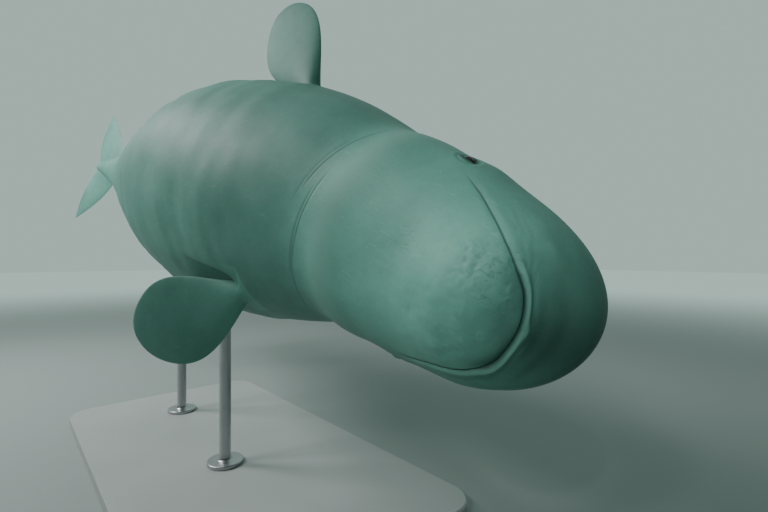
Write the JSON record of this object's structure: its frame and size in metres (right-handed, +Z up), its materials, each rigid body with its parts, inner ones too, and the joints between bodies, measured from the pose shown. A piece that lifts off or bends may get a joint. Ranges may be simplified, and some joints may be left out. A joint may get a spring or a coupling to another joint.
{
  "type": "beluga whale",
  "caption": "Life-size adult beluga whale banking on its left side in mid swim, held over a flat display base by short rods.",
  "frame": {"origin": "middle of the underside of the display base, on the floor", "axes": "+X the way the whale swims, +Y the side its back faces, +Z up; the whale lies on its left side"},
  "size_m": [3.9673, 1.05, 2.1097],
  "materials": {
    "skin": "pale grey-white whale skin, satin, faint wrinkles and scratches",
    "eye": "wet dark brown, glossy",
    "base_board": "grey lacquered board, satin",
    "rod_steel": "turned and brushed"
  },
  "bodies": {
    "root": {"head": "skin", "lower_jaw": "skin", "neck": "skin", "torso": "skin", "tail_stock": "skin", "fluke_left": "skin", "fluke_right": "skin", "flipper_left": "skin", "flipper_right": "skin", "eye_left": "eye", "eye_right": "eye", "stand_base": "base_board", "stand_rod_front": "rod_steel", "stand_rod_rear": "rod_steel"}
  },
  "joints": []
}
